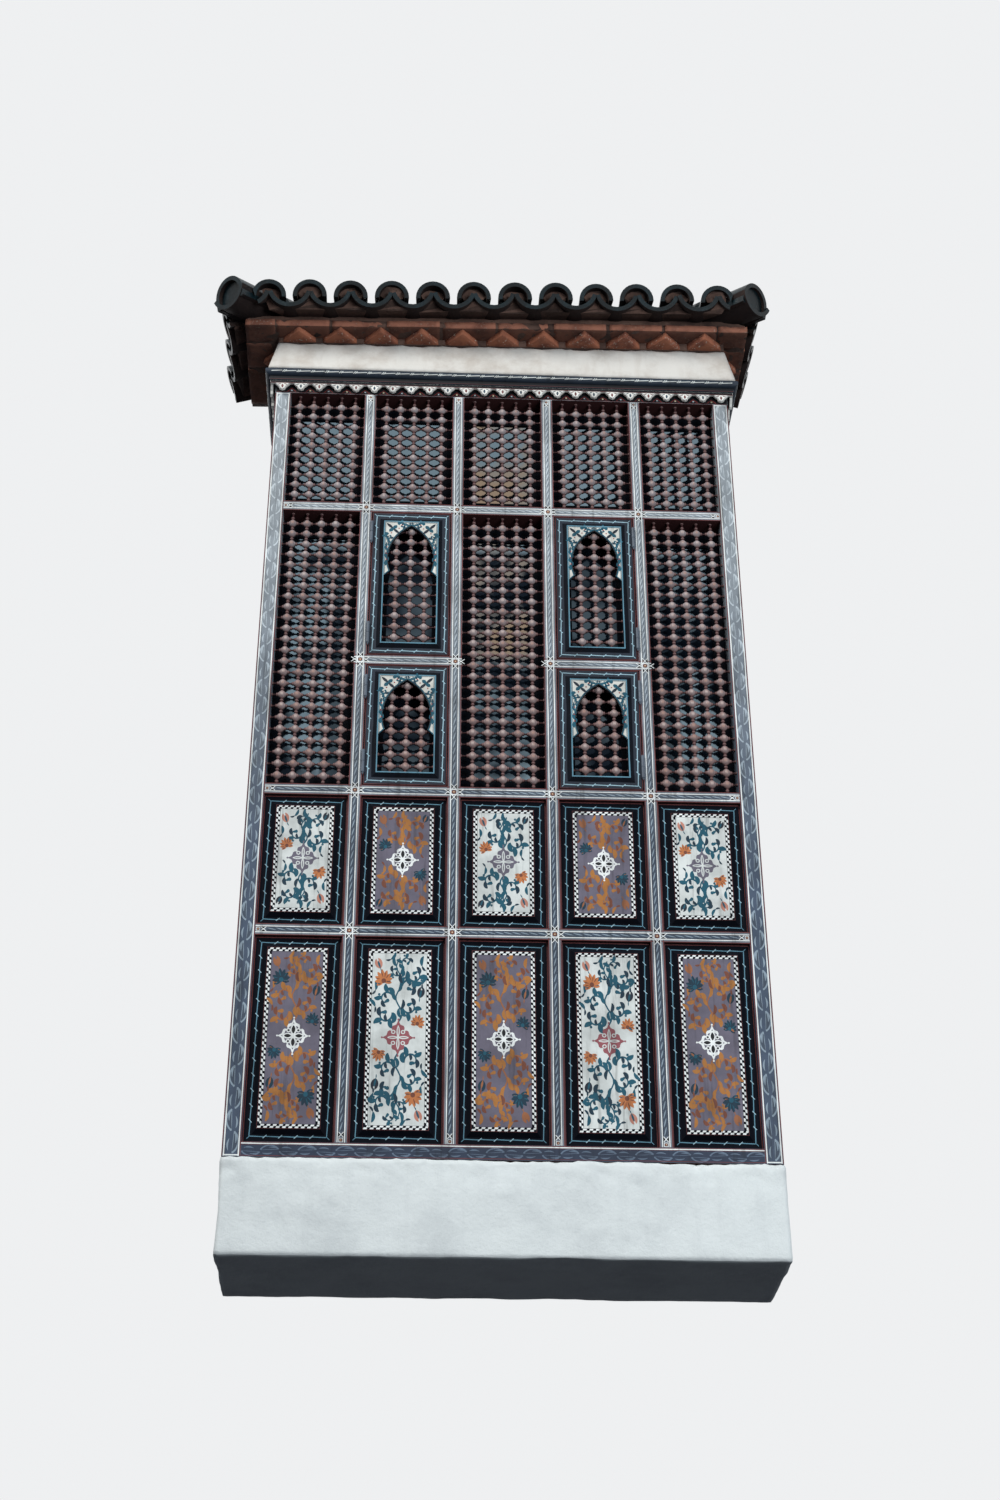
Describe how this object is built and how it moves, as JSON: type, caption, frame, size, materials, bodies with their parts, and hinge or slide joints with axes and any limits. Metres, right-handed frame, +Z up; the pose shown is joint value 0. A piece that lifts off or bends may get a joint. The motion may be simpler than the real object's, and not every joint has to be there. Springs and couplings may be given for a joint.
{
  "type": "mashrabiya screen",
  "caption": "Projecting mashrabiya screen: painted timber oriel with turned lattices, arched window leaves and painted panels on a plastered base, under a small tiled roof.",
  "frame": {"origin": "centre of the base slab's back face, on the wall", "axes": "+X right along the wall seen from outside, +Y into the wall, +Z up"},
  "size_m": [2.2213, 0.6413, 4.1403],
  "materials": {
    "slab_plaster": "rough trowelled plaster",
    "band_plaster": "off-white lime plaster",
    "mortar": "rough mortar",
    "brick": "thin terracotta brick",
    "green_glaze": "dark green-blue glaze",
    "glass": "clear sheet",
    "hinge_iron": "painted iron",
    "plain_wood": "plain dark boards",
    "cornice_paint": "painted, dark green-blue with white dashes",
    "valance_paint": "painted, white scallops on a dark ground",
    "board_paint": "painted, white with green-blue leaves",
    "panel_paint": "painted with flowers and leaves",
    "lattice_wood": "turned, greyed",
    "leaf_paint": "painted, dark slate blue with a white rope line",
    "frame_paint": "painted, grey-blue with white and red lines"
  },
  "bodies": {
    "root": {"base_slab": "slab_plaster", "bottom_rail": "frame_paint", "ceiling_board": "plain_wood", "dogtooth_course": "brick", "flat_course": "brick", "front_cornice": "cornice_paint", "front_glass": "glass", "front_roof_tiles": "green_glaze", "front_valance": "valance_paint", "head_rail": "frame_paint", "lattice_rails": "frame_paint", "leaf_hinges": "hinge_iron", "leaf_lattices": "lattice_wood", "leaf_rails": "frame_paint", "left_corner_post": "frame_paint", "left_hip_cover": "green_glaze", "left_roof_tiles": "green_glaze", "left_tall_lattice": "lattice_wood", "left_wall_post": "frame_paint", "lower_left_leaf": "leaf_paint", "lower_right_leaf": "leaf_paint", "middle_tall_lattice": "lattice_wood", "mortar_bed": "mortar", "muntins": "frame_paint", "panel_rails": "frame_paint", "plaster_band": "band_plaster", "right_corner_post": "frame_paint", "right_hip_cover": "green_glaze", "right_roof_tiles": "green_glaze", "right_tall_lattice": "lattice_wood", "right_wall_post": "frame_paint", "short_panels": "panel_paint", "side_cornices": "cornice_paint", "side_glass": "glass", "side_lattices": "lattice_wood", "side_panels": "panel_paint", "side_rails": "frame_paint", "side_valances": "valance_paint", "spandrel_boards": "board_paint", "tall_panels": "panel_paint", "top_lattices": "lattice_wood", "upper_left_leaf": "leaf_paint", "upper_rails": "frame_paint", "upper_right_leaf": "leaf_paint"}
  },
  "joints": []
}
